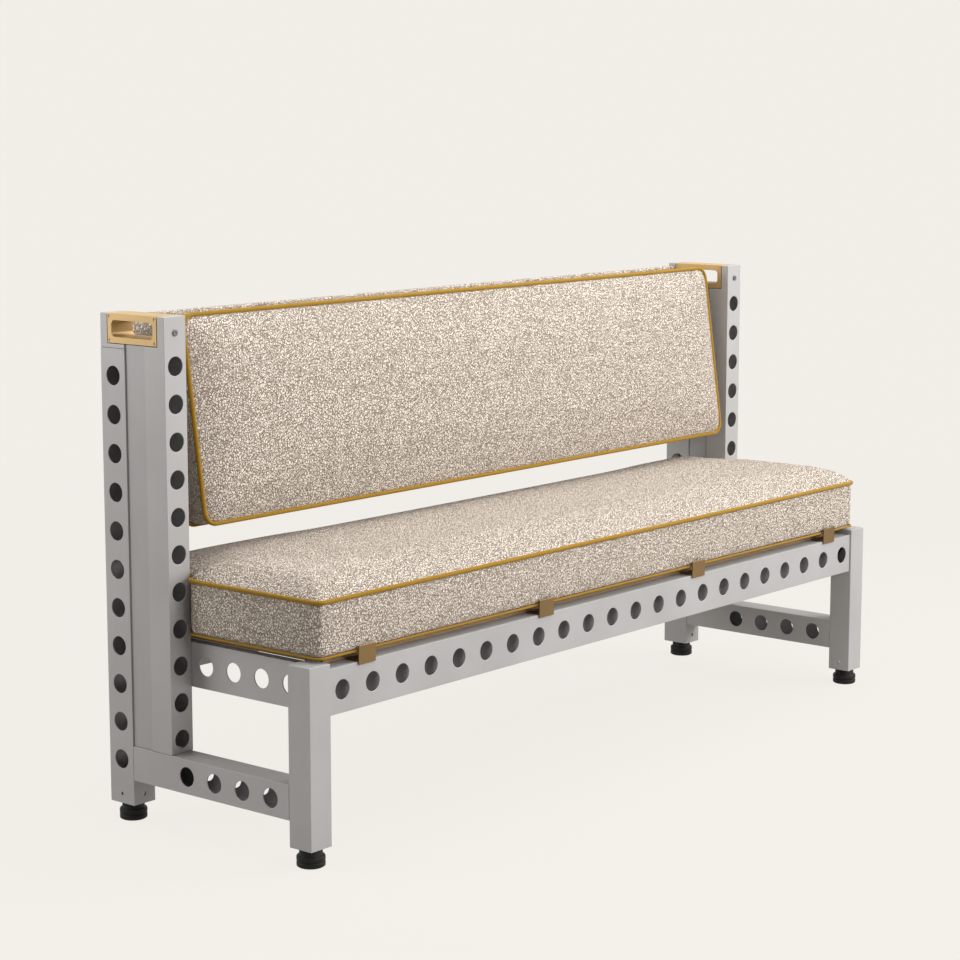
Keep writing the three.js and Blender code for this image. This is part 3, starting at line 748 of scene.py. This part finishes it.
cloth_gap.inputs["From Min"].default_value = 0
cloth_gap.inputs["From Max"].default_value = 0.17
cloth_gap.inputs["To Min"].default_value = 1
cloth_gap.inputs["To Max"].default_value = 0
cloth_gap.interpolation_type = "SMOOTHSTEP"
cloth_yarn = cloth_nodes.new("ShaderNodeTexNoise")
cloth_yarn.inputs["Scale"].default_value = 150
cloth_yarn.inputs["Detail"].default_value = 5
cloth_yarn.inputs["Roughness"].default_value = 0.7
cloth_ramp = cloth_nodes.new("ShaderNodeValToRGB")
cloth_ramp.color_ramp.elements[0].position = 0.34
cloth_ramp.color_ramp.elements[0].color = (0.77, 0.66, 0.555, 1)
cloth_ramp.color_ramp.elements[1].position = 0.62
cloth_ramp.color_ramp.elements[1].color = (0.94, 0.845, 0.74, 1)
# Painted shade: the gaps between the loops are multiplied darker.
cloth_gap_painted_shade = cloth_nodes.new("ShaderNodeMix")
cloth_gap_painted_shade.data_type = "RGBA"
cloth_gap_painted_shade.blend_type = "MULTIPLY"
cloth_gap_painted_shade.inputs["B"].default_value = (0.61, 0.515, 0.415, 1)
cloth_height = cloth_nodes.new("ShaderNodeMath")
cloth_height.operation = "SUBTRACT"
cloth_height.inputs[0].default_value = 1
cloth_relief = cloth_nodes.new("ShaderNodeBump")
cloth_relief.inputs["Strength"].default_value = 1
cloth_relief.inputs["Distance"].default_value = 0.005
cloth_links.new(cloth_place.outputs["Object"], cloth_wander.inputs["Vector"])
cloth_links.new(cloth_wander.outputs["Color"], cloth_shift.inputs[0])
cloth_links.new(cloth_place.outputs["Object"], cloth_move.inputs[0])
cloth_links.new(cloth_shift.outputs["Vector"], cloth_move.inputs[1])
cloth_links.new(cloth_move.outputs["Vector"], cloth_upright.inputs[0])
cloth_links.new(cloth_upright.outputs["Vector"], cloth_loops.inputs["Vector"])
cloth_links.new(cloth_place.outputs["Object"], cloth_yarn.inputs["Vector"])
cloth_links.new(cloth_yarn.outputs["Fac"], cloth_ramp.inputs["Fac"])
cloth_links.new(cloth_loops.outputs["Distance"], cloth_gap.inputs["Value"])
cloth_links.new(cloth_gap.outputs["Result"], cloth_gap_painted_shade.inputs["Factor"])
cloth_links.new(cloth_ramp.outputs["Color"], cloth_gap_painted_shade.inputs["A"])
cloth_links.new(cloth_gap_painted_shade.outputs["Result"], cloth_shade.inputs["Base Color"])
cloth_links.new(cloth_gap.outputs["Result"], cloth_height.inputs[1])
cloth_links.new(cloth_height.outputs["Value"], cloth_relief.inputs["Height"])
cloth_links.new(cloth_relief.outputs["Normal"], cloth_shade.inputs["Normal"])


# Cushion covers: cut to a flat outline with round corners and raised to a box with a soft crown. The
# cloth is held along both piped seams and over the base, and stuffing swells the panels between them.
CORNER_STEPS = 10
CROWN_STEPS = (0.04, 0.12, 0.25, 0.45, 0.7, 1)
MESH_SIZE = 0.006
SEAM_STEP = 0.004
SEAM_STEPS_MOST = 40
SEAM_BAND_HEIGHT = 0.005
SEAM_BAND_WIDTH = 0.007
BASE_BAND_HEIGHT = 0.006
STUFFING_PRESSURE = 7
STUFFING_FRAMES = 20


def soft_outline(name, corners, radius):
    outline_mesh = bpy.data.meshes.new(name)
    outline_mesh.from_pydata([(x, y, 0) for x, y in corners], [], [list(range(len(corners)))])
    outline = bpy.data.objects.new(name, outline_mesh)
    scene.collection.objects.link(outline)
    bpy.ops.object.select_all(action="DESELECT")
    outline.select_set(True)
    bpy.context.view_layer.objects.active = outline
    bpy.ops.object.mode_set(mode="EDIT")
    bpy.ops.mesh.select_all(action="SELECT")
    bpy.ops.mesh.bevel(offset=radius, segments=CORNER_STEPS, affect="VERTICES", clamp_overlap=True)
    bpy.ops.object.mode_set(mode="OBJECT")
    return outline


def sewn_cushion(name, outline, low_seam, high_seam, shoulder, run, fullness, crown_cap, side_cap):
    points = outline.data.vertices
    edge_points = [points[i].co.copy() for i in outline.data.polygons[0].vertices]
    cushion = outline.copy()
    cushion.data = outline.data.copy()
    cushion.name = name
    scene.collection.objects.link(cushion)
    bpy.ops.object.select_all(action="DESELECT")
    cushion.select_set(True)
    bpy.context.view_layer.objects.active = cushion
    bpy.ops.object.mode_set(mode="EDIT")
    bpy.ops.mesh.select_all(action="SELECT")
    bpy.ops.transform.translate(value=(0, 0, low_seam))
    side_height = high_seam - low_seam
    bpy.ops.mesh.extrude_region_move(TRANSFORM_OT_translate={"value": (0, 0, side_height)})
    half_x = max(point.x for point in edge_points)
    near_y = min(point.y for point in edge_points)
    far_y = max(point.y for point in edge_points)
    half_y = (far_y - near_y) / 2
    middle = (0, (near_y + far_y) / 2, high_seam)
    rise = 0
    inset = 0
    for step in CROWN_STEPS:
        next_rise = shoulder * math.sin(step * math.pi / 2) ** fullness
        next_inset = run * step
        bpy.ops.mesh.extrude_region_move(TRANSFORM_OT_translate={"value": (0, 0, next_rise - rise)})
        shrink_x = (half_x - next_inset) / (half_x - inset)
        shrink_y = (half_y - next_inset) / (half_y - inset)
        bpy.ops.transform.resize(value=(shrink_x, shrink_y, 1), center_override=middle)
        rise = next_rise
        inset = next_inset
    bpy.ops.mesh.select_all(action="SELECT")
    bpy.ops.mesh.normals_make_consistent(inside=False)
    bpy.ops.object.mode_set(mode="OBJECT")
    even_mesh = cushion.modifiers.new("even_mesh", "REMESH")
    even_mesh.mode = "VOXEL"
    even_mesh.voxel_size = MESH_SIZE
    bpy.ops.object.modifier_apply(modifier=even_mesh.name)
    start = [vertex.co.copy() for vertex in cushion.data.vertices]
    seam = mathutils.kdtree.KDTree(len(edge_points) * SEAM_STEPS_MOST)
    count = 0
    for here, there in zip(edge_points, edge_points[1:] + edge_points[:1]):
        steps = max(1, min(SEAM_STEPS_MOST, int((there - here).length / SEAM_STEP)))
        for k in range(steps):
            seam.insert(here.lerp(there, k / steps), count)
            count += 1
    seam.balance()
    held = cushion.vertex_groups.new(name="sewn")
    for i, place in enumerate(start):
        from_seam = seam.find((place.x, place.y, 0))[2]
        on_high = abs(place.z - high_seam) < SEAM_BAND_HEIGHT and from_seam < SEAM_BAND_WIDTH
        on_base = place.z < low_seam + BASE_BAND_HEIGHT
        if on_high or on_base:
            held.add([i], 1, "REPLACE")
    cloth = cushion.modifiers.new("stuffing", "CLOTH")
    cloth.settings.quality = 4
    cloth.settings.use_pressure = True
    cloth.settings.uniform_pressure_force = STUFFING_PRESSURE
    cloth.settings.effector_weights.gravity = 0
    cloth.settings.vertex_group_mass = "sewn"
    cloth.settings.tension_stiffness = 8
    cloth.settings.compression_stiffness = 8
    cloth.settings.shear_stiffness = 3
    cloth.settings.bending_stiffness = 0.4
    for moment in range(1, STUFFING_FRAMES + 1):
        scene.frame_set(moment)
    bpy.ops.object.modifier_apply(modifier=cloth.name)
    scene.frame_set(1)
    for vertex, place in zip(cushion.data.vertices, start):
        move = vertex.co - place
        swell = crown_cap * math.tanh(move.z / crown_cap)
        flat = mathutils.Vector((move.x, move.y, 0))
        reach = side_cap * math.tanh(flat.length / side_cap)
        flat = flat.normalized() * reach if flat.length else flat
        vertex.co = place + mathutils.Vector((flat.x, flat.y, swell))
    even = cushion.modifiers.new("even", "SMOOTH")
    even.factor = 0.5
    even.iterations = 6
    bpy.ops.object.modifier_apply(modifier=even.name)
    fine = cushion.modifiers.new("fine", "SUBSURF")
    fine.levels = fine.render_levels = 1
    bpy.ops.object.modifier_apply(modifier=fine.name)
    bpy.ops.object.shade_smooth()
    return cushion


# Piping: a cotton cord in a bias-cut gold cover, sewn into both seams of each cushion. It follows the
# cushion's outline as one closed ring.
gold_cloth = bpy.data.materials.new("gold_piping_cloth")
gold_cloth.use_nodes = True
gold_nodes = gold_cloth.node_tree.nodes
gold_links = gold_cloth.node_tree.links
gold_shade = gold_nodes["Principled BSDF"]
gold_shade.inputs["Roughness"].default_value = 0.75
gold_shade.inputs["Specular IOR Level"].default_value = 0.1
gold_shade.inputs["Sheen Weight"].default_value = 0.15
gold_place = gold_nodes.new("ShaderNodeTexCoord")
gold_weave = gold_nodes.new("ShaderNodeTexNoise")
gold_weave.inputs["Scale"].default_value = 700
gold_weave.inputs["Detail"].default_value = 3
gold_tint = gold_nodes.new("ShaderNodeMix")
gold_tint.data_type = "RGBA"
gold_tint.inputs["A"].default_value = (0.19, 0.09, 0.004, 1)
gold_tint.inputs["B"].default_value = (0.45, 0.26, 0.016, 1)
gold_relief = gold_nodes.new("ShaderNodeBump")
gold_relief.inputs["Strength"].default_value = 0.4
gold_relief.inputs["Distance"].default_value = 0.0006
gold_links.new(gold_place.outputs["Object"], gold_weave.inputs["Vector"])
gold_links.new(gold_weave.outputs["Fac"], gold_tint.inputs["Factor"])
gold_links.new(gold_tint.outputs["Result"], gold_shade.inputs["Base Color"])
gold_links.new(gold_weave.outputs["Fac"], gold_relief.inputs["Height"])
gold_links.new(gold_relief.outputs["Normal"], gold_shade.inputs["Normal"])
PIPE_RADIUS = 0.004
PIPE_STEPS = 4


def sewn_piping(name, outline, height, thickness):
    ring = [outline.data.vertices[i].co for i in outline.data.polygons[0].vertices]
    cord_curve = bpy.data.curves.new(name, "CURVE")
    cord_curve.dimensions = "3D"
    cord_curve.bevel_depth = thickness
    cord_curve.bevel_resolution = PIPE_STEPS
    run = cord_curve.splines.new("POLY")
    run.points.add(len(ring) - 1)
    for point, place in zip(run.points, ring):
        point.co = (place.x, place.y, height, 1)
    run.use_cyclic_u = True
    cord = bpy.data.objects.new(name, cord_curve)
    scene.collection.objects.link(cord)
    bpy.ops.object.select_all(action="DESELECT")
    cord.select_set(True)
    bpy.context.view_layer.objects.active = cord
    bpy.ops.object.convert(target="MESH")
    cord = bpy.context.object
    bpy.ops.object.shade_smooth()
    return cord


# Seat cushion: a box cushion on the deck, wide over the front legs and narrower where it passes between
# the back posts. The clips hold its front edge, and its lower piping is thinner than the upper.
SEAT_CORNER = 0.018
POST_CLEARANCE = 0.006
RAIL_END_CLEARANCE = 0.005
LOWER_PIPE_RADIUS = 0.0022
SEAT_CROWN = {"shoulder": 0.027, "run": 0.042, "fullness": 0.5, "crown_cap": 0.014, "side_cap": 0.01}
seat_low, seat_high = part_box("seat_upper_piping")
post_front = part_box("left_back_post")[0].y
seat_half = seat_high.x - PIPE_RADIUS
rear_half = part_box("front_rail")[1].x - RAIL_END_CLEARANCE - PIPE_RADIUS
front_edge = seat_low.y + PIPE_RADIUS
rear_edge = seat_high.y - PIPE_RADIUS
notch_edge = post_front - POST_CLEARANCE - PIPE_RADIUS
seat_corners = [
    (-seat_half, front_edge),
    (seat_half, front_edge),
    (seat_half, notch_edge),
    (rear_half, notch_edge),
    (rear_half, rear_edge),
    (-rear_half, rear_edge),
    (-rear_half, notch_edge),
    (-seat_half, notch_edge),
]
seat_outline = soft_outline("seat_pattern", seat_corners, SEAT_CORNER)
lower_low, lower_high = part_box("seat_lower_piping")
low_seam = (lower_low.z + lower_high.z) / 2
high_seam = (seat_low.z + seat_high.z) / 2
seat_cover = sewn_cushion("seat_cushion_cover", seat_outline, low_seam, high_seam, **SEAT_CROWN)
fit(seat_cover, boucle, "boucle", "seat", "seat_cushion")
for label, height, thickness in (("lower", low_seam, LOWER_PIPE_RADIUS), ("upper", high_seam, PIPE_RADIUS)):
    cord = sewn_piping(f"seat_{label}_piping_cord", seat_outline, height, thickness)
    fit(cord, gold_cloth, "gold_piping", "seat", f"seat_{label}_piping")
bpy.data.objects.remove(seat_outline)

# Back cushion: a plain box cushion fixed to its board, leaning back between the posts. It is made flat,
# face up, and then turned to its lean.
BACK_CORNER = 0.024
BACK_TILT = math.radians(8)
BACK_HEIGHT = 0.372
BACK_PLACE = mathutils.Vector((0, 0.102, 0.715))
BACK_REAR_SEAM = -0.054
BACK_CROWN = {"shoulder": 0.02, "run": 0.05, "fullness": 1, "crown_cap": 0.01, "side_cap": 0.007}
back_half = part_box("back_front_piping")[1].x - PIPE_RADIUS
back_tall = BACK_HEIGHT / 2 - PIPE_RADIUS
back_outline = soft_outline(
    "back_pattern",
    [(-back_half, -back_tall), (back_half, -back_tall), (back_half, back_tall), (-back_half, back_tall)],
    BACK_CORNER,
)
lean = (
    mathutils.Matrix.Translation(BACK_PLACE)
    @ mathutils.Matrix.Rotation(-BACK_TILT, 4, "X")
    @ mathutils.Matrix.Rotation(math.pi / 2, 4, "X")
)
back_cover = sewn_cushion("back_cushion_cover", back_outline, BACK_REAR_SEAM, 0, **BACK_CROWN)
back_cover.data.transform(lean)
fit(back_cover, boucle, "boucle", "back", "back_cushion")
for label, height in (("rear", BACK_REAR_SEAM), ("front", 0)):
    cord = sewn_piping(f"back_{label}_piping_cord", back_outline, height, PIPE_RADIUS)
    cord.data.transform(lean)
    fit(cord, gold_cloth, "gold_piping", "back", f"back_{label}_piping")
bpy.data.objects.remove(back_outline)

# Back board: the stiff plywood panel behind the back cushion, a little smaller than it, that the hooks
# are screwed to. It leans with the cushion.
BOARD_MARGIN = 0.022
BOARD_FRONT = -0.0603
BOARD_REAR = -0.0723
board_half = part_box("back_board")[1].x
board_tall = BACK_HEIGHT / 2 - BOARD_MARGIN
board_low = (-board_half, -board_tall, BOARD_REAR)
board_high = (board_half, board_tall, BOARD_FRONT)
back_panel = block("back_board_panel", board_low, board_high)
ease_edges(back_panel, PLYWOOD_EDGE)
back_panel.data.transform(lean)
fit(back_panel, plywood, "plywood", "back", "back_board")

# Rear panel: closes the back of the bench between the rear posts, wrapped in the cushion cloth,
# which rounds its edges. It shows through the grip slots and above the back cushion.
WRAPPED_EDGE = 0.005
low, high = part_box("rear_panel")
rear_cover = block("rear_panel_cover", low, high)
ease_edges(rear_cover, WRAPPED_EDGE, segments=4)
fit(rear_cover, boucle, "boucle", "frame", "rear_panel")
